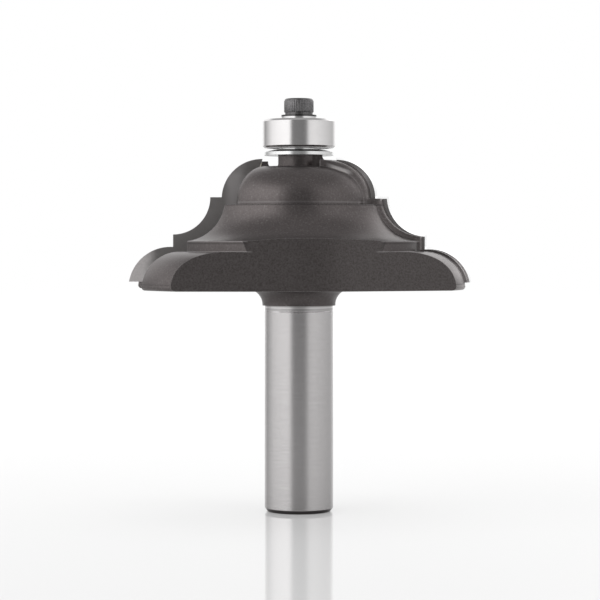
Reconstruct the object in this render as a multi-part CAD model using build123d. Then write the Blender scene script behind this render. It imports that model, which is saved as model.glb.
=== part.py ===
from build123d import *
import os
from math import asin, cos, degrees, radians, sin, sqrt, tan

# Two-flute profile cutter for a hand-held or table router, with a guide bearing on its top end.
# Millimetres, +Z up along the axis. The origin is the centre of the shank's foot, on which the bit
# stands, and the two teeth lie along X. Tooth 2 is at +X; tooth 1 is the same turned half a turn.
# The tool turns so that tooth 1 moves towards -Y, where the eye is.

# Shank and collar
shank_diameter = 12.0
shank_length = 35.1
foot_chamfer = 0.5
foot_chamfer_height = 0.65
neck_depth = 0.06
neck_length = 1.0
collar_diameter = 12.8
collar_height = 2.85
collar_flare = 2.7
centre_hole_diameter = 2.6
centre_hole_depth = 3.2
centre_hole_angle = 60.0

# Cutting profile, from the tooth's bottom edge up: ovolo, quirk, cove, step and dome
cutting_diameter = 60.25
tooth_lift = 1.25
ovolo_radius = 7.42
ovolo_sink = 1.27
quirk_diameter = 44.66
quirk_height = 2.18
cove_radius = 6.57
dome_diameter = 27.5
dome_radius = 7.08
dome_sink = 0.35

# Body between the teeth, which stays behind the cutting profile and so limits the bite
limiter_inset = 0.8
limiter_cove_drop = 0.42
limiter_dome_drop = 0.7
limiter_edge_round = 0.6
front_flat_distance = 19.5
front_flat_angle = -2.0
side_flat_distance = 19.9
side_flat_angle = 22.0
flat_lean = 9.6
flat_blend_radius = 24.0

# Teeth: a brazed tip in a seat, with a raised land of steel behind it and a gullet in front
face_offset = 2.75
tip_thickness = 2.0
tip_clearance_angle = 12.0
tip_inner_top = 6.4
tip_inner_bottom = 13.0
land_width = 1.8
heel_diameter = 56.8
heel_chamfer = 0.9
gullet_radius = 12.0
gullet_wall_offset = 4.2
gullet_wall_angle = 16.9
gullet_runout = 0.45
slot_width = 1.85
slot_outer_corner = 0.9
slot_hub_corner = 0.45
upstand_length = 0.45
upstand_depth = 0.55
upstand_fillet = 0.65

# Hub, arbor and tapped hole on top
hub_diameter = 8.04
hub_height = 0.47
hub_flat_depth = 0.42
upstand_overlap = 0.37
arbor_fit = 0.01
arbor_setback = 0.2
tapped_hole_spare = 0.8
thread_clearance = 0.03

# Spacer disc under the bearing
disc_diameter = 12.15
disc_rim_height = 0.58
disc_crown_diameter = 9.2
disc_crown_height = 0.97
disc_boss_diameter = 6.5
disc_thickness = 1.3
disc_bore_clearance = 0.05

# Guide bearing: a shielded ball bearing of inch size
bearing_diameter = 12.7
bearing_bore = 4.762
bearing_width = 4.978
outer_ring_thickness = 1.07
inner_ring_thickness = 1.069
rim_chamfer = 0.35
bore_chamfer = 0.15
ball_count = 7
ball_diameter = 2.381
race_clearance = 0.05
cage_thickness = 0.2
cage_width = 0.8
cage_clearance = 0.06
shield_thickness = 0.2
shield_recess = 0.15
shield_bite = 0.32
shield_gap = 0.12

# Washer and retaining screw
washer_diameter = 6.2
washer_thickness = 0.8
washer_bore = 3.3
screw_diameter = 3.0
screw_length = 8.5
head_diameter = 5.05
head_height = 2.88
head_base_diameter = 4.85
head_base_height = 0.45
head_top_round = 0.42
socket_size = 2.4
socket_depth = 1.6
screw_tip_chamfer = 0.35

# Heights along the axis that follow from them
collar_bottom = shank_length + neck_length
underside = collar_bottom + collar_height
tooth_bottom = underside + tooth_lift
ovolo_centre_height = tooth_bottom - ovolo_sink
quirk_bottom = ovolo_centre_height + ovolo_radius
cove_bottom = quirk_bottom + quirk_height
step_height = cove_bottom + cove_radius
tooth_top = step_height - dome_sink + dome_radius
limiter_top = tooth_top - limiter_inset - limiter_dome_drop
hub_top = tooth_top + hub_height
bearing_bottom = hub_top + disc_thickness
bearing_top = bearing_bottom + bearing_width
bearing_middle = bearing_bottom + bearing_width / 2
washer_top = bearing_top + washer_thickness
head_top = washer_top + head_height

# Radii that follow from them
shank_radius = shank_diameter / 2
cutting_radius = cutting_diameter / 2
ovolo_centre_radius = cutting_radius - sqrt(ovolo_radius**2 - ovolo_sink**2)
quirk_radius = quirk_diameter / 2
dome_centre_radius = dome_diameter / 2 - sqrt(dome_radius**2 - dome_sink**2)
hub_radius = hub_diameter / 2
land_start = hub_radius - upstand_overlap
arbor_radius = bearing_bore / 2 - arbor_fit
hole_radius = screw_diameter / 2 + thread_clearance
outer_land_radius = bearing_diameter / 2 - outer_ring_thickness
inner_land_radius = bearing_bore / 2 + inner_ring_thickness
pitch_radius = (bearing_bore + bearing_diameter) / 4
ball_radius = ball_diameter / 2
backing_inset = tip_thickness * tan(radians(tip_clearance_angle))

clear = cutting_diameter + head_top  # longer than the whole tool, for cuts that pass right through


def turned(*edges):
    """A solid of revolution about Z from edges drawn as (radius, height)."""
    return revolve(make_face(Plane.XZ * (Curve() + list(edges))), Axis.Z)


def turned_polygon(*points):
    """A solid of revolution about Z from the corners of its half section."""
    return turned(Polyline(*points, close=True))


def moulding(inset=0.0, cove_drop=0.0, dome_drop=0.0, bottom=tooth_bottom):
    """Edges of the ogee half section, closed along the axis.

    The whole profile is set back by inset, and its cove and dome are sunk by their own drops.
    """
    ovolo = ovolo_radius - inset
    ovolo_start = degrees(asin((bottom - ovolo_centre_height) / ovolo))
    ovolo_end = (ovolo_centre_radius, ovolo_centre_height + ovolo)
    riser = quirk_radius - inset

    cove = cove_radius + inset
    cove_centre = (quirk_radius, step_height - cove_drop)
    tread = step_height - inset - dome_drop
    cove_start = 270 - degrees(asin(inset / cove))
    cove_end = 180 + degrees(asin((cove_centre[1] - tread) / cove))

    dome = dome_radius - inset
    dome_centre = (dome_centre_radius, step_height - dome_sink - dome_drop)
    dome_start = degrees(asin((dome_sink - inset) / dome))

    lower = CenterArc((ovolo_centre_radius, ovolo_centre_height), ovolo, ovolo_start, 90 - ovolo_start)
    hollow = CenterArc(cove_centre, cove, cove_start, cove_end - cove_start)
    upper = CenterArc(dome_centre, dome, dome_start, 90 - dome_start)
    quirk = Polyline(ovolo_end, (riser, ovolo_end[1]), hollow @ 0)
    step = Line(hollow @ 1, upper @ 0)
    web = Polyline(upper @ 1, (0, (upper @ 1).Y), (0, bottom), lower @ 0)
    return [lower, quirk, hollow, step, upper, web]


def slab(low, high):
    """Everything on the +X side between two distances behind the axis, on the -Y side."""
    return Box(clear, high - low, 2 * clear, align=(Align.MIN, Align.MAX, Align.CENTER)).moved(Pos(Y=-low))


def leaning_cut(distance, angle):
    """Everything beyond a flat that faces the -Y side turned by angle, leaning out downwards."""
    beyond = Box(2 * clear, clear, 2 * clear, align=(Align.CENTER, Align.MAX, Align.CENTER))
    return Rot(Z=angle) * Pos(Y=-distance, Z=cove_bottom) * Rot(X=-flat_lean) * beyond


def make_flats_cut():
    """What the sector beside tooth 2 loses to its two flats, which run into each other in a wide curve."""
    cut = leaning_cut(front_flat_distance, front_flat_angle)
    cut += leaning_cut(side_flat_distance, side_flat_angle)
    level = Box(2 * clear, 2 * clear, tooth_top - shank_length, align=(Align.CENTER, Align.CENTER, Align.MIN))
    cut &= Pos(Z=shank_length) * level
    meeting = cut.edges().sort_by_distance((0, 0, cove_bottom))[0]
    return fillet(meeting, flat_blend_radius)


def both_teeth(shape):
    """A feature of tooth 2 together with the same on tooth 1."""
    return shape + Rot(Z=180) * shape


def seat_prism():
    """The straight-sided block that a tip and its seat share: slanted inner edge, flat bottom."""
    outline = Polyline(
        (tip_inner_bottom, tooth_bottom),
        (clear, tooth_bottom),
        (clear, tooth_top + clear),
        (tip_inner_top, tooth_top + clear),
        (tip_inner_top, tooth_top),
        close=True,
    )
    return extrude(make_face(Plane.XZ.offset(face_offset) * outline), tip_thickness, dir=(0, -1, 0))


def make_tip():
    """Tooth 2's carbide tip: the cutting profile in the face plane, relieved towards the back."""
    face_shift = cutting_radius - sqrt(cutting_radius**2 - face_offset**2)
    front = make_face(Pos(X=-face_shift) * (Curve() + moulding(bottom=underside)))
    back = make_face(Pos(X=-face_shift) * (Curve() + moulding(backing_inset, bottom=underside)))
    front_plane = Plane.XZ.offset(face_offset)
    blank = loft([front_plane * front, front_plane.offset(tip_thickness) * back], ruled=True)
    return blank & seat_prism()


def make_shank():
    """Ground shank with its foot chamfer and centre hole, the neck, and the collar's flare."""
    foot = shank_radius - foot_chamfer
    neck = shank_radius - neck_depth
    collar = collar_diameter / 2
    flare = CenterArc((collar + collar_flare, underside - collar_flare), collar_flare, 180, -90)
    side = Polyline(
        (0, underside),
        (0, 0),
        (foot, 0),
        (shank_radius, foot_chamfer_height),
        (shank_radius, shank_length),
        (neck, shank_length),
        (neck, collar_bottom),
        (collar, collar_bottom),
        flare @ 0,
    )
    mouth = centre_hole_diameter / 2
    cone = mouth / tan(radians(centre_hole_angle / 2))
    pilot = mouth / 3
    pilot_start = cone * (mouth - pilot) / mouth
    centre_hole = turned_polygon(
        (0, 0),
        (mouth, 0),
        (pilot, pilot_start),
        (pilot, centre_hole_depth),
        (0, centre_hole_depth),
    )
    return turned(side, flare, Line(flare @ 1, (0, underside))) - centre_hole


def make_gullet():
    """Tooth 2's gullet in plan: the tooth face, one large arc round the root, the next sector's wall."""
    angle = radians(gullet_wall_angle)
    slope = tan(angle)
    centre_x = hub_radius + gullet_radius
    centre_y = gullet_wall_offset + slope * centre_x - gullet_radius / cos(angle)
    start = 90 + gullet_wall_angle
    end = 180 - degrees(asin((-face_offset - centre_y) / gullet_radius))
    root = CenterArc((centre_x, centre_y), gullet_radius, start, end - start)
    sides = Polyline(root @ 1, (clear, -face_offset), (clear, gullet_wall_offset + slope * clear), root @ 0)
    floor = underside - gullet_runout
    return extrude(Pos(Z=floor) * make_face(Curve() + [root, sides]), clear)


def make_heel_cut():
    """Steel that is cut away below tooth 2's tip and land, up to the tooth's bottom edge."""
    heel = heel_diameter / 2
    ring = turned_polygon(
        (heel - heel_chamfer, underside),
        (clear, underside),
        (clear, tooth_bottom),
        (heel, tooth_bottom),
        (heel, underside + heel_chamfer),
    )
    return ring & slab(face_offset, face_offset + tip_thickness + land_width)


def make_land():
    """Tooth 2's raised land of steel, which carries the tip and ends beside the hub."""
    behind_face = slab(face_offset, face_offset + tip_thickness + land_width)
    return turned(*moulding(backing_inset)) & Pos(X=land_start) * behind_face


def make_slot():
    """Straight slot between tooth 1's land and the hub, as it lies when turned to tooth 2."""
    floor = limiter_top
    inner = hub_radius - hub_flat_depth
    outer = inner + slot_width
    far = CenterArc((outer - slot_outer_corner, floor + slot_outer_corner), slot_outer_corner, 0, -90)
    near = CenterArc((inner + slot_hub_corner, floor + slot_hub_corner), slot_hub_corner, 270, -90)
    rest = [Line(far @ 1, near @ 0), Polyline(near @ 1, (inner, clear), (outer, clear), far @ 0)]
    return extrude(make_face(Plane.XZ * (Curve() + [far, near] + rest)), clear, both=True)


def make_upstand():
    """Square corner between the hub and tooth 2's land, level with the hub and rounded into the land."""
    land_top = tooth_top - backing_inset
    wall = land_start + upstand_length
    corner = CenterArc((wall + upstand_fillet, land_top + upstand_fillet), upstand_fillet, 180, 90)
    rest = Polyline(
        corner @ 1,
        (wall + upstand_fillet, limiter_top),
        (0, limiter_top),
        (0, hub_top),
        (wall, hub_top),
        corner @ 0,
    )
    section = make_face(Plane.XZ.offset(face_offset) * (Curve() + [corner, rest]))
    return extrude(section, upstand_depth, dir=(0, -1, 0))


def make_body():
    """The steel body: one piece turned, then milled with gullets, flats, lands and tip seats."""
    section = moulding(limiter_inset, limiter_cove_drop, limiter_dome_drop, underside)
    face = make_face(Plane.XZ * (Curve() + section))
    rim = face.vertices().group_by(Axis.Z)[0].sort_by(Axis.X)[-1]
    limiter = revolve(fillet(rim, limiter_edge_round), Axis.Z)
    limiter -= both_teeth(make_flats_cut()) + both_teeth(make_heel_cut())

    hub = turned_polygon(
        (0, underside),
        (hub_radius, underside),
        (hub_radius, hub_top),
        (arbor_radius, hub_top),
        (arbor_radius, bearing_top - arbor_setback),
        (0, bearing_top - arbor_setback),
    )
    lands = both_teeth(make_land())
    body = limiter + lands - both_teeth(make_gullet()) + hub + make_upstand()
    body = body - Rot(Z=180) * make_slot() - both_teeth(seat_prism())
    hole_bottom = washer_top - screw_length - tapped_hole_spare
    hole = turned_polygon(
        (0, hole_bottom - hole_radius / 2),
        (hole_radius, hole_bottom),
        (hole_radius, bearing_top),
        (0, bearing_top),
    )
    return body + make_shank() - hole


def make_disc():
    """Spacer disc: a thin rim, a shallow crown, and a boss that meets only the inner ring."""
    bore = arbor_radius + disc_bore_clearance
    rim = disc_diameter / 2
    crown = disc_crown_diameter / 2
    boss = disc_boss_diameter / 2
    return turned_polygon(
        (bore, hub_top),
        (rim, hub_top),
        (rim, hub_top + disc_rim_height),
        (crown, hub_top + disc_crown_height),
        (boss, hub_top + disc_crown_height),
        (boss, bearing_bottom),
        (bore, bearing_bottom),
    )


def race():
    """The ring-shaped space that the balls run in, cut with straight sides just clear of a ball."""
    section = RegularPolygon(ball_radius + race_clearance, 8, major_radius=False, rotation=22.5)
    return revolve(Plane.XZ * Pos(pitch_radius, bearing_middle) * section, Axis.Z)


def rim_edges(ring, radius):
    """The round edges of a bearing ring that have this radius."""
    circles = ring.edges().filter_by(GeomType.CIRCLE)
    return circles.filter_by(lambda edge: abs(edge.radius - radius) < race_clearance)


def make_outer_ring():
    """Outer ring with chamfered rim edges, shoulders for the two shields and the ball groove."""
    land = outer_land_radius
    seat = land + shield_bite
    shoulder = shield_recess + shield_thickness
    rim = bearing_diameter / 2
    ring = turned_polygon(
        (seat, bearing_bottom),
        (rim, bearing_bottom),
        (rim, bearing_top),
        (seat, bearing_top),
        (seat, bearing_top - shoulder),
        (land, bearing_top - shoulder),
        (land, bearing_bottom + shoulder),
        (seat, bearing_bottom + shoulder),
    )
    return chamfer(rim_edges(ring, rim), rim_chamfer) - race()


def make_inner_ring():
    """Inner ring, clamped between the disc's boss and the washer."""
    land = inner_land_radius
    bore = bearing_bore / 2
    low = bearing_bottom
    high = bearing_top
    ring = turned_polygon((bore, low), (land, low), (land, high), (bore, high))
    return chamfer(rim_edges(ring, bore), bore_chamfer) - race()


def make_shield(bottom):
    """A shield pressed into the outer ring, running just clear of the inner ring."""
    inner = inner_land_radius + shield_gap
    outer = outer_land_radius + shield_bite
    top = bottom + shield_thickness
    return turned_polygon((inner, bottom), (outer, bottom), (outer, top), (inner, top))


def make_cage_half():
    """Upper half of the ribbon cage: flat between the balls, arched over each of them."""
    pocket = ball_radius + cage_clearance
    height = pocket + cage_thickness
    inner = pitch_radius - cage_width / 2
    outer = pitch_radius + cage_width / 2
    low = bearing_middle
    high = bearing_middle + height
    band = turned_polygon((inner, low), (outer, low), (outer, high), (inner, high))
    flat = band & Pos(Z=low) * Cylinder(clear, cage_thickness, align=(Align.CENTER, Align.CENTER, Align.MIN))
    places = Pos(Z=low) * PolarLocations(pitch_radius, ball_count)
    arches = [spot * Cylinder(height, 2 * cage_width, rotation=(0, 90, 0)) for spot in places]
    pockets = [spot * Cylinder(pocket, 2 * cage_width, rotation=(0, 90, 0)) for spot in places]
    return flat + (band & (Part() + arches)) - pockets


def make_washer():
    """Plain washer that clamps the inner ring."""
    inner = washer_bore / 2
    outer = washer_diameter / 2
    low = bearing_top
    high = washer_top
    return turned_polygon((inner, low), (outer, low), (outer, high), (inner, high))


def make_screw():
    """Socket cap screw with a plain band under its grip, its thread left plain."""
    tip = washer_top - screw_length
    thread = screw_diameter / 2
    head = head_diameter / 2
    base = head_base_diameter / 2
    band_top = washer_top + head_base_height
    rounding = CenterArc((head - head_top_round, head_top - head_top_round), head_top_round, 90, -90)
    side = Polyline(
        rounding @ 1,
        (head, band_top),
        (base, band_top),
        (base, washer_top),
        (thread, washer_top),
        (thread, tip + screw_tip_chamfer),
        (thread - screw_tip_chamfer, tip),
        (0, tip),
        (0, head_top),
        rounding @ 0,
    )
    hexagon = RegularPolygon(socket_size / 2, 6, major_radius=False)
    socket = extrude(Pos(Z=head_top - socket_depth) * hexagon, socket_depth)
    return turned(rounding, side) - socket


tip_2 = make_tip()
cage_half = make_cage_half()
cage_plane = Plane.XY.offset(bearing_middle)

nodes = {
    "cutter_body": make_body(),
    "carbide_tip_1": Rot(Z=180) * tip_2,
    "carbide_tip_2": tip_2,
    "spacer_disc": make_disc(),
    "bearing_outer_ring": make_outer_ring(),
    "bearing_inner_ring": make_inner_ring(),
    "bearing_shield_top": make_shield(bearing_top - shield_recess - shield_thickness),
    "bearing_shield_bottom": make_shield(bearing_bottom + shield_recess),
    "cage_half_top": cage_half,
    "cage_half_bottom": mirror(cage_half, cage_plane),
    "clamp_washer": make_washer(),
    "retaining_screw": make_screw(),
}
for number, spot in enumerate(PolarLocations(pitch_radius, ball_count), start=1):
    nodes[f"ball_{number}"] = Pos(Z=bearing_middle) * spot * Sphere(ball_radius)

os.makedirs("parts", exist_ok=True)
for name, shape in nodes.items():
    export_step(shape, f"parts/{name}.step")
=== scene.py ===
from math import cos, pi, radians, sin

import bmesh
import bpy
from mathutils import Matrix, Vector


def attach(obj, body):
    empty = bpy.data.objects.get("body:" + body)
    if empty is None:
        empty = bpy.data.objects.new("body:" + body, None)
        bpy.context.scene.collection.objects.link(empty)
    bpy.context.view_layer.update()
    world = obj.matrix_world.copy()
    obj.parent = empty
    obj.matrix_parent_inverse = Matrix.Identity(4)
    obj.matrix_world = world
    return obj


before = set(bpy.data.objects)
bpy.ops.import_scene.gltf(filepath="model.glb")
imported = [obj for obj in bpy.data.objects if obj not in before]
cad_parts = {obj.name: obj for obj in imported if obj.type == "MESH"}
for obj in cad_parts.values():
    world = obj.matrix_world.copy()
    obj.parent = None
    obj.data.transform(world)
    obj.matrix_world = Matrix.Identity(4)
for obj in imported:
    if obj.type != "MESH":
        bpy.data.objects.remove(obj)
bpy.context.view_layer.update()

# Looks of a two-flute profile cutter with a guide bearing, standing on its shank, seen from the -Y
# side. Objects are in metres, +Z up. Sizes and everything inside the materials are in millimetres.

MM = 0.001

# Shank and its neck
FOOT_CHAMFER = 0.65
SHANK_BRIGHT_END = 35.1
NECK_MIDDLE = 35.45
NECK_HALF = 0.32
SHANK_END = 36.1

# Milled body, its flats, which lean by an angle in degrees, and the lands behind the tips
UNDERSIDE = 38.95
RING_MIDDLE = 46.43
RING_HALF = 0.87
RING_RADIUS = 21.53
RING_GROOVE = RING_MIDDLE + RING_HALF - 0.36
DOME_BASE = 53.6
DOME_BASE_RADIUS = 12.95
DOME_LINE = DOME_BASE + 0.42
LIMITER_TOP = 60.33
HUB_RADIUS = 3.4
FLAT_LEAN = 9.6
FLAT_REACH = 18.5
LAND_BACK = 6.55
# Place of a painted highlight line near the land, and of a painted sheen at the lands' outer ends
STREAK_REACH = 7.0
STREAK_HEIGHT = 62.0
STREAK_SLOPE = 0.32
SHEEN_START = 25.6
SHEEN_FULL = 28.0
GROUND_EDGE = 0.12
RUN_OUT_ROUND = 1.3

# Carbide tips, with the slant of their grinding marks across the face
TOOTH_BOTTOM = 40.2
FACE_OFFSET = 2.75
TIP_INNER_TOP = 6.4
TIP_INNER_BOTTOM = 13.0
# Where the painted reflection on the face is lighter at the tip's end and round the crown, and darker
# at the top
TIP_END_START = 25.0
TIP_END_FULL = 27.6
TIP_TOP_START = 58.6
TIP_TOP_FULL = 60.4
CROWN_RADIUS = 11.6
GRIND_X = 0.62
GRIND_Z = 0.78
TIP_EDGE = 0.08

# Bright turned pieces, and the screw's head
TURNED_EDGE = 0.06
WASHER_TOP = 69.378
THREAD_TOP = 69.15
THREAD_PITCH = 0.5
HEAD_KNURL_BOTTOM = 69.83
HEAD_KNURL_TOP = 71.9
HEAD_RADIUS = 2.525
HEAD_EDGE = 0.1
KNURL_RIDGES = 42

# Colours of the finishes, and of the painted highlights, reflections and shade, as linear red, green
# and blue
WHITE = (1.0, 1.0, 1.0)
STEEL_DARK = (0.56, 0.545, 0.545)
STEEL_LIGHT = (0.71, 0.69, 0.69)
NECK_STEEL = (0.34, 0.335, 0.335)
NECK_GLINT = (0.98, 0.96, 0.96)
FOOT_SHADE = (0.13, 0.12, 0.12)
COAT_DARK = (0.120, 0.105, 0.103)
COAT_LIGHT = (0.203, 0.182, 0.180)
COAT_SPECKLE = (0.33, 0.315, 0.31)
MILLED_DARK = (0.085, 0.074, 0.071)
MILLED_LIGHT = (0.140, 0.126, 0.125)
COAT_EDGE_WEAR_AND_GLINT = (0.46, 0.44, 0.44)
COLLAR_SHADE = (0.06, 0.056, 0.055)
HUB_TONE = (0.05, 0.045, 0.045)
RING_TONE = (0.07, 0.063, 0.062)
HIGHLIGHT_LINE = (0.34, 0.32, 0.32)
GROOVE_TONE = (0.04, 0.036, 0.036)
LIP_SHADE = (0.03, 0.028, 0.028)
PAINTED_LAND_LIGHT = (0.42, 0.39, 0.385)
STREAK_HIGHLIGHT = (0.90, 0.86, 0.85)
CARBIDE_DARK = (0.33, 0.315, 0.31)
CARBIDE_LIGHT = (0.42, 0.40, 0.395)
CARBIDE_MARK = (0.55, 0.54, 0.53)
CARBIDE_END_REFLECTION = (0.93, 0.89, 0.885)
CARBIDE_CROWN_REFLECTION = (0.72, 0.69, 0.69)
CARBIDE_TOP_REFLECTION = (0.24, 0.225, 0.22)
CARBIDE_MARGIN = (0.90, 0.90, 0.90)
CARBIDE_EDGE_GLINT = (0.80, 0.79, 0.78)
TURNED_SHADE = (0.16, 0.155, 0.155)
RIM_SHADE = (0.10, 0.098, 0.098)
TURNED_GLINT = (0.92, 0.92, 0.92)
BLACK_DARK = (0.13, 0.127, 0.13)
BLACK_LIGHT = (0.27, 0.262, 0.265)
BLACK_BASE = (0.06, 0.058, 0.06)
BLACK_RIDGE = (0.38, 0.37, 0.38)
BLACK_EDGE_GLINT = (0.42, 0.42, 0.42)
BRAZE_DARK = (0.46, 0.42, 0.34)
BRAZE_LIGHT = (0.70, 0.67, 0.60)
FLOOR_GREY = (0.80, 0.80, 0.80)

# Heights in the studio: each is the z of a direction, from where a change begins to where it ends
TABLE_LINE = (0.045, 0.120)
LOW_WALL = (0.10, 0.30)
HIGH_WALL = (0.15, 0.50)
SCREEN_TOP = (0.50, 0.72)
CEILING_LINE = (0.60, 0.86)

# Brightness of the studio by the direction round the tool: 0 is the eye's side, 90 the right
ROOM_PEAK = 1.2
CEILING_LEVEL = 0.38
ROOM_LEVELS = (
    (-180, 0.60),
    (-150, 0.30),
    (-138, 0.26),
    (-117, 0.48),
    (-96, 0.76),
    (-72, 0.88),
    (-46, 0.94),
    (-30, 0.92),
    (-22, 0.20),
    (-16, 0.16),
    (15, 0.16),
    (24, 0.24),
    (33, 0.72),
    (50, 0.78),
    (72, 0.70),
    (97, 0.59),
    (125, 0.48),
    (150, 0.46),
    (180, 0.60),
)

# The floor: half its width in metres, then its drop and where it fades to white, in millimetres
FLOOR_HALF = 6.0
FLOOR_DROP = 0.02
FLOOR_FADE_START = 150
FLOOR_FADE_END = 1800
FLOOR_ROUGHNESS = 0.035
FLOOR_IOR = 1.3
FLOOR_GLOW = 0.215

# The eye: its distance and height, the lens on its sensor, and its tilt and turn in degrees
EYE_DISTANCE = 377
EYE_HEIGHT = 47.2
EYE_SENSOR = 36.0
EYE_LENS = 129.06
EYE_CLIP = 10
EYE_TILT = 1.545
EYE_TURN = 0.0293


class Wire:
    """One output of a shader node. Sums on it add Math nodes to its material."""

    def __init__(self, paint, socket):
        self.paint = paint
        self.socket = socket

    def output(self, name):
        return Wire(self.paint, self.socket.node.outputs[name])

    def __add__(self, other):
        return self.paint.math("ADD", self, other)

    def __radd__(self, other):
        return self.paint.math("ADD", other, self)

    def __sub__(self, other):
        return self.paint.math("SUBTRACT", self, other)

    def __rsub__(self, other):
        return self.paint.math("SUBTRACT", other, self)

    def __mul__(self, other):
        return self.paint.math("MULTIPLY", self, other)

    def __rmul__(self, other):
        return self.paint.math("MULTIPLY", other, self)

    def __pow__(self, other):
        return self.paint.math("POWER", self, other)

    def __abs__(self):
        return self.paint.math("ABSOLUTE", self)


class Paint:
    """The nodes of one material or of the world."""

    def __init__(self, owner):
        owner.use_nodes = True
        self.nodes = owner.node_tree.nodes
        self.links = owner.node_tree.links
        self.nodes.clear()

    def node(self, kind, settings=None, sockets=None, output=0):
        """Adds one node: its settings come first, then the values or wires of its sockets."""
        made = self.nodes.new("ShaderNode" + kind)
        for name, value in (settings or {}).items():
            if name == "stops":
                self.set_stops(made.color_ramp, value)
            else:
                setattr(made, name, value)
        for name, value in (sockets or {}).items():
            if isinstance(value, Wire):
                self.links.new(value.socket, made.inputs[name])
            else:
                made.inputs[name].default_value = value
        return Wire(self, made.outputs[output]) if made.outputs else None

    def set_stops(self, ramp, stops):
        for place, shade in stops[1:-1]:
            ramp.elements.new(place)
        for element, (place, shade) in zip(ramp.elements, stops):
            element.position = place
            element.color = (*shade, 1.0)

    def math(self, operation, *values):
        return self.node("Math", {"operation": operation}, dict(enumerate(values)))

    def place(self):
        """Where the surface is, in millimetres: x, y and z."""
        point = self.node("TexCoord", output="Object")
        split = self.node("SeparateXYZ", sockets={0: point})
        return tuple(split.output(name) * (1 / MM) for name in "XYZ")

    def radius(self, x, y):
        """How far a place is from the tool's axis."""
        return (x * x + y * y) ** 0.5

    def turn(self, x, y):
        """The direction of a place from the tool's axis, in radians."""
        return self.math("ARCTAN2", y, x)

    def facing(self, axis):
        """How far the surface faces along one axis of the object, from -1 to 1."""
        normal = self.node("TexCoord", output="Normal")
        return self.node("SeparateXYZ", sockets={0: normal}).output(axis)

    def rise(self, value, low, high):
        """0 below low and 1 above high, with a soft change between them."""
        return self.node("MapRange", {"interpolation_type": "SMOOTHSTEP"}, {0: value, 1: low, 2: high})

    def band(self, value, middle, half, soft):
        """1 within half of the middle, and 0 beyond it by soft."""
        return 1 - self.rise(abs(value - middle), half, half + soft)

    def point(self, x, y, z):
        return self.node("CombineXYZ", sockets={0: x, 1: y, 2: z})

    def noise(self, where, scale=1.0, detail=3.0, roughness=0.6):
        sockets = {"Vector": where, "Scale": scale, "Detail": detail, "Roughness": roughness}
        return self.node("TexNoise", sockets=sockets)

    def blend(self, share, first, second):
        """Mixes two colours by share. Each is a wire or a plain colour."""
        first, second = (tone if isinstance(tone, Wire) else (*tone, 1.0) for tone in (first, second))
        return self.node("Mix", {"data_type": "RGBA"}, {0: share, 6: first, 7: second}, output=2)

    def touch(self, under, tone, where, strength):
        """Lays a tone over a colour, at full strength where the mask is 1."""
        return self.blend(where * strength, under, tone)

    def round_off(self, radius, samples=6):
        """The normal of the surface as if its edges were rounded by a radius."""
        return self.node("Bevel", {"samples": samples}, {"Radius": radius * MM})

    def edges(self, radius):
        """1 along the sharp edges of the solid and 0 away from them."""
        flat = self.node("NewGeometry", output="Normal")
        both = {0: self.round_off(radius), 1: flat}
        agree = self.node("VectorMath", {"operation": "DOT_PRODUCT"}, both, output="Value")
        return self.rise(1 - agree, 0.01, 0.12)

    def bump(self, height, distance, strength, rounding=None):
        sockets = {"Height": height, "Distance": distance * MM, "Strength": strength}
        if rounding is not None:
            sockets["Normal"] = rounding
        return self.node("Bump", sockets=sockets)

    def finish(self, **sockets):
        named = {name.replace("_", " "): value for name, value in sockets.items()}
        surface = self.node("BsdfPrincipled", sockets=named)
        self.node("OutputMaterial", sockets={0: surface})

    def glow(self, strength):
        return self.node("Emission", sockets={"Color": (*WHITE, 1.0), "Strength": strength})


def new_paint(name):
    material = bpy.data.materials.new(name)
    return material, Paint(material)


def ground_steel(p, z, neck, scratches):
    """Steel of the shank: a duller neck between two painted highlight lines, and painted shade on the
    chamfer at the foot.
    """
    # Two painted highlight lines at the neck's edges.
    neck_glints = p.band(abs(z - NECK_MIDDLE), NECK_HALF, half=0.04, soft=0.1)
    # The foot chamfer gets a painted shade in place of the dark it reflects by the floor.
    foot = 1 - p.rise(z, FOOT_CHAMFER - 0.1, FOOT_CHAMFER)
    steel = p.blend(scratches, STEEL_DARK, STEEL_LIGHT)
    steel = p.touch(steel, NECK_STEEL, neck, strength=0.3)
    steel = p.touch(steel, NECK_GLINT, neck_glints, strength=0.6)
    return p.blend(foot, steel, FOOT_SHADE)


def gritty_coat(p, where, grit, flats):
    """Coating with light specks, which is darker and plainer on the milled flats."""
    cloud = p.noise(where, scale=0.16, roughness=0.55)
    turned = p.blend(cloud * 0.5 + p.rise(grit, 0.3, 0.7) * 0.5, COAT_DARK, COAT_LIGHT)
    turned = p.touch(turned, COAT_SPECKLE, p.rise(grit, 0.56, 0.74), strength=0.5)
    milled = p.blend(p.rise(grit, 0.3, 0.7), MILLED_DARK, MILLED_LIGHT)
    return p.blend(flats, turned, milled)


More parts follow.
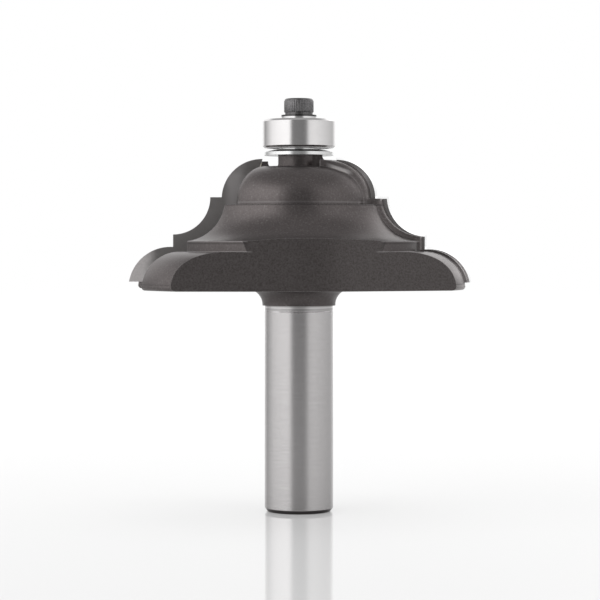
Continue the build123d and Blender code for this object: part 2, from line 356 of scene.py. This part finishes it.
def round_bands_and_painted_light(p, coat, z, radius):
    """Bands round the body: painted highlight lines on the ring's edges and at the dome's base, painted
    shade below the underside and along the step's edge under the dome, a groove, and darker bands on
    the hub and the ring.
    """
    # Painted shade on the down-facing part below the body's underside.
    collar = 1 - p.rise(z, UNDERSIDE - 0.6, UNDERSIDE)
    hub = p.rise(z, LIMITER_TOP, LIMITER_TOP + 0.3) * p.band(radius, HUB_RADIUS, half=0.8, soft=0.1)
    on_ring = p.band(radius, RING_RADIUS, half=0.1, soft=0.1)
    ring = p.band(z, RING_MIDDLE, RING_HALF, soft=0.05) * on_ring
    groove = p.band(z, RING_GROOVE, half=0.07, soft=0.1) * on_ring
    # Painted highlight lines along the ring's upper and lower edges.
    ring_highlights = p.band(abs(z - RING_MIDDLE), RING_HALF, half=0.05, soft=0.1)
    ring_highlights = ring_highlights * p.band(radius, RING_RADIUS, half=0.2, soft=0.2)
    # A painted highlight line at the dome's base.
    dome_highlight = p.band(z, DOME_LINE, half=0.08, soft=0.14)
    dome_highlight = dome_highlight * p.band(radius, DOME_BASE_RADIUS, half=0.5, soft=0.5)
    # A painted shade line along the step's edge just under the dome's base.
    lip = p.band(z, DOME_BASE - 0.06, half=0.09, soft=0.06)
    lip = lip * p.rise(radius, DOME_BASE_RADIUS + 0.8, DOME_BASE_RADIUS + 1.2)
    coat = p.touch(coat, COLLAR_SHADE, collar, strength=0.3)
    coat = p.touch(coat, HUB_TONE, hub, strength=0.25)
    coat = p.touch(coat, RING_TONE, ring, strength=0.25)
    coat = p.touch(coat, HIGHLIGHT_LINE, ring_highlights, strength=0.55)
    coat = p.touch(coat, GROOVE_TONE, groove, strength=0.4)
    coat = p.touch(coat, HIGHLIGHT_LINE, dome_highlight, strength=0.35)
    return p.touch(coat, LIP_SHADE, lip, strength=0.45)


def painted_light_on_lands(p, coat, x, y, z, radius, grit, turned):
    """Painted light on the side of the lands: a lightening over the run-out, one painted highlight line
    near it, and a painted sheen with specks at the outer end.
    """
    land_side = p.rise(0 - x * y, 0.0, 4.0)
    run_out = p.band(abs(y), LAND_BACK, half=0.35, soft=0.7) * turned * land_side
    run_out = run_out * p.rise(z, DOME_BASE + 0.3, DOME_BASE + 1.5)
    # One painted highlight line along the dome's edge near the land.
    streak = run_out * p.band(abs(x), STREAK_REACH, half=0.8, soft=1.8)
    streak = streak * p.band(z + abs(x) * STREAK_SLOPE, STREAK_HEIGHT, half=0.14, soft=0.36)
    # A painted sheen with specks over the outer end beside each land.
    end_sheen = p.rise(abs(x), SHEEN_START, SHEEN_FULL) * turned * land_side
    end_sheen = end_sheen * (p.rise(grit, 0.3, 0.7) * 0.4 + 0.4)
    # Painted light over the run-out where the land meets the body, which lifts the shade in that
    # corner.
    coat = p.touch(coat, PAINTED_LAND_LIGHT, run_out * p.rise(radius, 7.0, 9.0), strength=0.16)
    coat = p.touch(coat, STREAK_HIGHLIGHT, streak, strength=0.8)
    return p.blend(end_sheen, coat, PAINTED_LAND_LIGHT)


def body_rounding(p, y, z, radius, turned):
    """Crisp edges, but a wide soft run-out where the land meets the body behind it."""
    beside_land = p.band(abs(y), LAND_BACK + 0.35, half=0.9, soft=0.5) * turned
    beside_land = beside_land * p.rise(z, UNDERSIDE + 0.9, UNDERSIDE + 1.6) * p.rise(radius, 8.0, 9.5)
    crisp = p.round_off(GROUND_EDGE)
    wide = p.round_off(RUN_OUT_ROUND, samples=12)
    return p.node("Mix", {"data_type": "VECTOR"}, {0: beside_land, 4: crisp, 5: wide}, output=1)


def coated_body():
    """Dark coating on the milled body, with bright ground steel on the shank and its neck."""
    material, p = new_paint("coated_body")
    x, y, z = p.place()
    radius = p.radius(x, y)
    where = p.point(x, y, z)
    ground = 1 - p.rise(z, SHANK_END - 0.08, SHANK_END + 0.02)
    neck = p.rise(z, SHANK_BRIGHT_END - 0.05, SHANK_BRIGHT_END + 0.05)
    flats = p.band(p.facing("Z"), sin(radians(FLAT_LEAN)) + 0.002, half=0.004, soft=0.003)
    flats = flats * p.rise(radius, FLAT_REACH, FLAT_REACH + 0.3) * p.rise(z, UNDERSIDE - 0.2, UNDERSIDE)
    turned = 1 - flats
    # Lighter, smoother coat along the sharp edges: partly wear, partly a painted highlight for the
    # light that rounded edges would catch.
    edge_wear_and_glint = p.edges(GROUND_EDGE) * (1 - ground)

    scratches = p.noise(p.point(p.turn(x, y) * 1.4, z * 26, radius))
    rings = p.noise(p.point(z * 9, radius * 9, 0.0))
    grit = p.noise(where, scale=3.4, detail=4.0, roughness=0.65)
    grain = ground * scratches * 0.35 + (1 - ground) * (grit * 0.8 + rings * 0.2 * turned)

    coat = gritty_coat(p, where, grit, flats)
    coat = p.touch(coat, COAT_EDGE_WEAR_AND_GLINT, edge_wear_and_glint, strength=0.8)
    coat = round_bands_and_painted_light(p, coat, z, radius)
    coat = painted_light_on_lands(p, coat, x, y, z, radius, grit, turned)
    steel_roughness = scratches * 0.10 + neck * 0.10 + 0.16
    coat_roughness = grit * 0.14 + flats * 0.08 - edge_wear_and_glint * 0.06 + 0.27
    rounding = body_rounding(p, y, z, radius, turned)
    p.finish(
        Base_Color=p.blend(ground, coat, ground_steel(p, z, neck, scratches)),
        Metallic=ground * 0.15 + 0.85 - flats * 0.30,
        Roughness=ground * steel_roughness + (1 - ground) * coat_roughness,
        Normal=p.bump(grain, distance=0.04, strength=0.55, rounding=rounding),
    )
    return material


def ground_carbide():
    """Fine-ground carbide: light grinding marks on the face, bright margins round it, and a painted
    reflection on the face that is lighter at the tip's end and round the crown and darker at the top.
    """
    material, p = new_paint("ground_carbide")
    x, y, z = p.place()
    radius = p.radius(x, y)
    where = p.point(x, y, z)
    across = x * GRIND_X + z * GRIND_Z
    along = z * GRIND_X - x * GRIND_Z
    marks = p.noise(p.point(across * 7, along * 0.5, y * 7), detail=4.0, roughness=0.65)
    cloud = p.noise(where, scale=0.35)
    grit = p.noise(where, scale=3.2, detail=4.0, roughness=0.65)
    margin = 1 - p.rise(abs(p.facing("Y")), 0.5, 0.9)
    # Places of the painted reflection; the tip's end is also rougher and grittier.
    tip_end = p.rise(radius + (cloud - 0.5) * 1.6, TIP_END_START, TIP_END_FULL)
    crown = p.band(radius + (cloud - 0.5) * 1.2, CROWN_RADIUS, half=0.5, soft=1.6)
    top = p.rise(z, TIP_TOP_START, TIP_TOP_FULL)

    face = p.blend(cloud, CARBIDE_DARK, CARBIDE_LIGHT)
    face = p.touch(face, CARBIDE_MARK, p.rise(marks, 0.5, 0.8), strength=0.3)
    face = p.blend(tip_end * (grit * 0.5 + 0.6), face, CARBIDE_END_REFLECTION)
    face = p.touch(face, CARBIDE_CROWN_REFLECTION, crown, strength=0.7)
    face = p.touch(face, CARBIDE_TOP_REFLECTION, top, strength=0.4)
    face = p.blend(margin, face, CARBIDE_MARGIN)
    face_roughness = marks * 0.16 + tip_end * 0.16 + 0.27
    # The tip's sharp edges get a painted glint.
    p.finish(
        Base_Color=p.touch(face, CARBIDE_EDGE_GLINT, p.edges(TIP_EDGE), strength=0.4),
        Metallic=1.0,
        Roughness=face_roughness * (1 - margin) + margin * 0.2,
        Normal=p.bump(marks + grit * tip_end * 0.6, distance=0.02, strength=0.4),
    )
    return material


def turned_metal(name, dark, light, gloss, spread, lines, depth, rim=None):
    """Bright metal with fine marks round the axis, and painted shade on faces turned down. Without a
    rim its edges get a painted glint; a rim is the height of a painted shade band along the upper edge.
    """
    material, p = new_paint(name)
    x, y, z = p.place()
    marks = p.noise(p.point(p.turn(x, y) * 1.2, z * lines, p.radius(x, y) * lines))
    smear = p.noise(p.point(x, y, z), scale=0.8, detail=2.0, roughness=0.5)
    downward = p.rise(0 - p.facing("Z"), 0.3, 0.6)
    metal = p.blend(marks * 0.7 + smear * 0.3, dark, light)
    metal = p.touch(metal, TURNED_SHADE, downward, strength=0.4)
    if rim is None:
        metal = p.touch(metal, TURNED_GLINT, p.edges(TURNED_EDGE), strength=0.3)
    else:
        # A painted shade band along the upper edge, under the part that sits on it.
        metal = p.blend(p.rise(z, rim - 0.36, rim - 0.26), metal, RIM_SHADE)
    p.finish(
        Base_Color=metal,
        Metallic=1.0,
        Roughness=marks * spread + gloss,
        Normal=p.bump(marks, depth, strength=0.4, rounding=p.round_off(TURNED_EDGE)),
    )
    return material


def black_screw():
    """Black oxide on the socket screw: lighter along its ridges, with its thread in the shading."""
    material, p = new_paint("black_screw")
    x, y, z = p.place()
    grip_middle = (HEAD_KNURL_BOTTOM + HEAD_KNURL_TOP) / 2
    grip_half = (HEAD_KNURL_TOP - HEAD_KNURL_BOTTOM) / 2 - 0.1
    grip = p.band(z, grip_middle, grip_half, soft=0.1)
    grip = grip * p.rise(p.radius(x, y), HEAD_RADIUS - 0.12, HEAD_RADIUS - 0.04)
    ridge = p.math("SINE", p.turn(x, y) * KNURL_RIDGES)
    head_base = 1 - p.rise(z, HEAD_KNURL_BOTTOM - 0.05, HEAD_KNURL_BOTTOM + 0.05)
    thread = 1 - p.rise(z, THREAD_TOP - 0.15, THREAD_TOP + 0.15)
    turns = p.math("SINE", z * (2 * pi / THREAD_PITCH))
    grit = p.noise(p.point(x, y, z), scale=4.5)
    relief = turns * thread * 0.5 + grit * 0.25

    black = p.blend(p.rise(grit, 0.3, 0.7), BLACK_DARK, BLACK_LIGHT)
    black = p.touch(black, BLACK_BASE, head_base, strength=0.15)
    black = p.touch(black, BLACK_RIDGE, p.rise(ridge, 0.3, 0.9) * grip, strength=0.35)
    # The head's sharp edges get a painted glint.
    p.finish(
        Base_Color=p.touch(black, BLACK_EDGE_GLINT, p.edges(HEAD_EDGE), strength=0.5),
        Metallic=0.9,
        Roughness=grit * 0.14 + 0.26,
        Normal=p.bump(relief, distance=0.05, strength=0.8, rounding=p.round_off(HEAD_EDGE)),
    )
    return material


def silver_braze():
    """The pale bead of braze metal that shows along a tip's inner edge."""
    material, p = new_paint("silver_braze")
    lumps = p.noise(p.point(*p.place()), scale=2.2)
    p.finish(
        Base_Color=p.blend(lumps, BRAZE_DARK, BRAZE_LIGHT),
        Metallic=1.0,
        Roughness=lumps * 0.2 + 0.25,
        Normal=p.bump(lumps, distance=0.04, strength=0.5),
    )
    return material


def dressed_piece(name, mesh, material):
    """Makes a piece of a mesh, which moves with the cutter."""
    piece = bpy.data.objects.new(name, mesh)
    bpy.context.scene.collection.objects.link(piece)
    mesh.materials.append(material)
    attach(piece, "cutter")
    return piece


def braze_bead(name, material, side):
    """A thin bead down the inner edge of one tip, a little proud of the tooth's face."""
    bead_width = 0.13
    bead_proud = 0.045
    rows = 90
    around = 8
    taper = 30
    top = Vector((TIP_INNER_TOP + 0.10, 0, LIMITER_TOP + 0.9))
    bottom = Vector((TIP_INNER_BOTTOM, 0, TOOTH_BOTTOM + 0.05))
    along = (bottom - top).normalized()
    across = Vector((along.z, 0, -along.x))
    bead = bmesh.new()
    rings = []
    for row in range(rows + 1):
        share = row / rows
        waves = sin(share * 61) * sin(share * 23 + 1)
        ripples = sin(share * 140)
        swell = 1 + waves * 0.28 + ripples * 0.12
        ends = max(min(1.0, share * taper, (1 - share) * taper) ** 0.5, 0.05)
        middle = top.lerp(bottom, share)
        ring = []
        for step in range(around):
            turn = 2 * pi * step / around
            off_face = Vector((0, bead_proud * swell * ends * sin(turn) - FACE_OFFSET, 0))
            point = middle + across * (bead_width * swell * ends * cos(turn)) + off_face
            ring.append(bead.verts.new((side * point.x * MM, side * point.y * MM, point.z * MM)))
        rings.append(ring)
    for near, far in zip(rings, rings[1:]):
        for step in range(around):
            after = (step + 1) % around
            bead.faces.new((near[step], near[after], far[after], far[step]))
    bead.faces.new(rings[0])
    bead.faces.new(reversed(rings[-1]))
    bmesh.ops.recalc_face_normals(bead, faces=bead.faces)
    mesh = bpy.data.meshes.new(name)
    bead.to_mesh(mesh)
    bead.free()
    mesh.shade_smooth()
    return dressed_piece(name, mesh, material)


def knurled_sleeve(name, material):
    """The upright ridges round the screw's head, as a thin closed ring let into the head."""
    ridge_height = 0.055
    steps = KNURL_RIDGES * 8
    inside = HEAD_RADIUS - 0.15
    valley = HEAD_RADIUS + 0.004
    run_in = 0.1
    rows = (
        (HEAD_KNURL_BOTTOM, inside, 0.0),
        (HEAD_KNURL_BOTTOM, valley - 0.03, 0.2),
        (HEAD_KNURL_BOTTOM + run_in, valley, 1.0),
        (HEAD_KNURL_TOP - run_in, valley, 1.0),
        (HEAD_KNURL_TOP, valley - 0.03, 0.2),
        (HEAD_KNURL_TOP, inside, 0.0),
    )
    corners = []
    for height, base, share in rows:
        for step in range(steps):
            turn = 2 * pi * step / steps
            reach = (base + share * ridge_height * (sin(KNURL_RIDGES * turn) + 1) / 2) * MM
            corners.append((reach * cos(turn), reach * sin(turn), height * MM))
    faces = []
    for row in range(len(rows)):
        low = row * steps
        high = (row + 1) % len(rows) * steps
        for step in range(steps):
            after = (step + 1) % steps
            faces.append((low + step, low + after, high + after, high + step))
    mesh = bpy.data.meshes.new(name)
    mesh.from_pydata(corners, [], faces)
    mesh.shade_smooth()
    mesh.set_sharp_from_angle(angle=radians(50))
    return dressed_piece(name, mesh, material)


def paint_nodes(material, *nodes):
    for node in nodes:
        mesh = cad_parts[node].data
        mesh.materials.clear()
        mesh.materials.append(material)


def dress():
    """Gives every solid its finish, and adds the ridges on the screw's head and the braze."""
    body = coated_body()
    carbide = ground_carbide()
    ring = turned_metal(
        "bearing_ring_steel", dark=(0.80, 0.782, 0.782), light=(0.90, 0.882, 0.882),
        gloss=0.10, spread=0.10, lines=22, depth=0.01,
    )
    disc = turned_metal(
        "spacer_disc_steel", dark=(0.92, 0.92, 0.92), light=(0.97, 0.97, 0.97),
        gloss=0.16, spread=0.10, lines=14, depth=0.01,
    )
    pressed = turned_metal(
        "pressed_shield_steel", dark=(0.45, 0.45, 0.46), light=(0.62, 0.62, 0.63),
        gloss=0.26, spread=0.12, lines=10, depth=0.02,
    )
    ball = turned_metal(
        "ball_steel", dark=(0.78, 0.78, 0.79), light=(0.88, 0.88, 0.89),
        gloss=0.05, spread=0.04, lines=3, depth=0.002,
    )
    washer = turned_metal(
        "washer_steel", dark=(0.84, 0.83, 0.83), light=(0.94, 0.93, 0.93),
        gloss=0.12, spread=0.10, lines=12, depth=0.01, rim=WASHER_TOP,
    )
    screw = black_screw()
    braze = silver_braze()

    paint_nodes(body, "cutter_body")
    paint_nodes(carbide, "carbide_tip_1", "carbide_tip_2")
    paint_nodes(disc, "spacer_disc")
    paint_nodes(ring, "bearing_outer_ring", "bearing_inner_ring")
    paint_nodes(pressed, "bearing_shield_top", "bearing_shield_bottom")
    paint_nodes(pressed, "cage_half_top", "cage_half_bottom")
    paint_nodes(washer, "clamp_washer")
    paint_nodes(screw, "retaining_screw")
    paint_nodes(ball, *(f"ball_{number}" for number in range(1, 8)))

    knurled_sleeve("screw_head_knurl", screw)
    for number, side in ((2, 1), (1, -1)):
        braze_bead(f"braze_bead_{number}", braze, side)


def pale_floor():
    """A pale glossy sheet: it mirrors the shank's foot and fades into the white behind."""
    half = FLOOR_HALF
    corners = [(-half, -half, 0), (half, -half, 0), (half, half, 0), (-half, half, 0)]
    mesh = bpy.data.meshes.new("pale_floor")
    mesh.from_pydata(corners, [], [(0, 1, 2, 3)])
    floor = bpy.data.objects.new("pale_floor", mesh)
    floor.location.z = -FLOOR_DROP * MM
    bpy.context.scene.collection.objects.link(floor)

    material, p = new_paint("pale_floor")
    x, y = p.place()[:2]
    far = p.rise(p.radius(x, y), FLOOR_FADE_START, FLOOR_FADE_END)
    seen = p.node("LightPath", output="Is Camera Ray")
    gloss = {"Base Color": (*FLOOR_GREY, 1.0), "Roughness": FLOOR_ROUGHNESS, "IOR": FLOOR_IOR}
    sheet = p.node("BsdfPrincipled", sockets=gloss)
    near = p.node("MixShader", sockets={0: seen, 2: p.glow(FLOOR_GLOW)})
    lit = p.node("AddShader", sockets={0: sheet, 1: near})
    surface = p.node("MixShader", sockets={0: far * seen, 1: lit, 2: p.glow(1.0)})
    p.node("OutputMaterial", sockets={0: surface})
    mesh.materials.append(material)


def studio_room():
    """The studio around the tool: dark by the eye, a tall soft light at each side, white behind."""
    world = bpy.data.worlds.new("studio_room")
    bpy.context.scene.world = world
    p = Paint(world)
    split = p.node("SeparateXYZ", sockets={0: p.node("TexCoord", output="Generated")})
    x, y, z = (split.output(name) for name in "XYZ")
    turn = p.math("ARCTAN2", x, 0 - y)
    stops = [((180 + angle) / 360, (level, level, level)) for angle, level in ROOM_LEVELS]
    around = p.node("ValToRGB", {"stops": stops}, {0: turn * (0.5 / pi) + 0.5}) * ROOM_PEAK

    above_table = p.rise(z, *TABLE_LINE)
    low_wall = p.rise(z, *LOW_WALL)
    lighter_left = p.rise(0 - x, 0.0, 0.3) * above_table * 0.18
    darker_right = p.rise(x, 0.0, 0.3) * (above_table * 0.26 - p.rise(z, *HIGH_WALL) * 0.10)
    lighter_back = p.rise(x, 0.1, 0.5) * p.rise(y, 0.0, 0.5) * low_wall * 0.7
    around = around * (1 + lighter_left - darker_right + lighter_back)
    upper = p.rise(z, *CEILING_LINE)
    room = around * (1 - upper) + upper * CEILING_LEVEL

    seen = p.node("LightPath", output="Is Camera Ray")
    mirrored = p.math("MAXIMUM", seen.output("Is Glossy Ray"), seen.output("Is Transmission Ray"))
    screen = p.rise(y + low_wall * 0.3, 0.70, 0.93) * (1 - p.rise(z, *SCREEN_TOP)) * mirrored
    glare = p.rise(x, 0.02, 0.25) * low_wall * 0.5
    room = room * (1 - screen) + screen * (1 + glare)
    strength = room * (1 - seen) + seen
    light = p.node("Background", sockets={"Color": (*WHITE, 1.0), "Strength": strength})
    p.node("OutputWorld", sockets={0: light})


def softbox(name, place, aim, width, height, radiance):
    """A large rectangular lamp that shines evenly. Metres."""
    lamp = bpy.data.lights.new(name, "AREA")
    lamp.shape = "RECTANGLE"
    lamp.size = width
    lamp.size_y = height
    lamp.energy = radiance * pi * width * height
    box = bpy.data.objects.new(name, lamp)
    box.location = place
    box.rotation_euler = (Vector(aim) - Vector(place)).to_track_quat("-Z", "Y").to_euler()
    box.visible_glossy = False
    bpy.context.scene.collection.objects.link(box)


def place_camera():
    """The eye of the photograph: in front of the tool, at mid height, through a long lens."""
    camera = bpy.data.cameras.new("eye")
    camera.sensor_width = EYE_SENSOR
    camera.lens = EYE_LENS
    camera.clip_start = EYE_CLIP * MM
    eye = bpy.data.objects.new("eye", camera)
    eye.location = (0.0, -EYE_DISTANCE * MM, EYE_HEIGHT * MM)
    eye.rotation_euler = (radians(90 - EYE_TILT), 0.0, radians(-EYE_TURN))
    bpy.context.scene.collection.objects.link(eye)
    bpy.context.scene.camera = eye


place_camera()
dress()
pale_floor()
studio_room()
softbox("top_softbox", place=(0.1, 0.15, 1.1), aim=(0, 0, 0.05), width=0.9, height=0.7, radiance=0.9)
bpy.context.scene.view_settings.view_transform = "Standard"
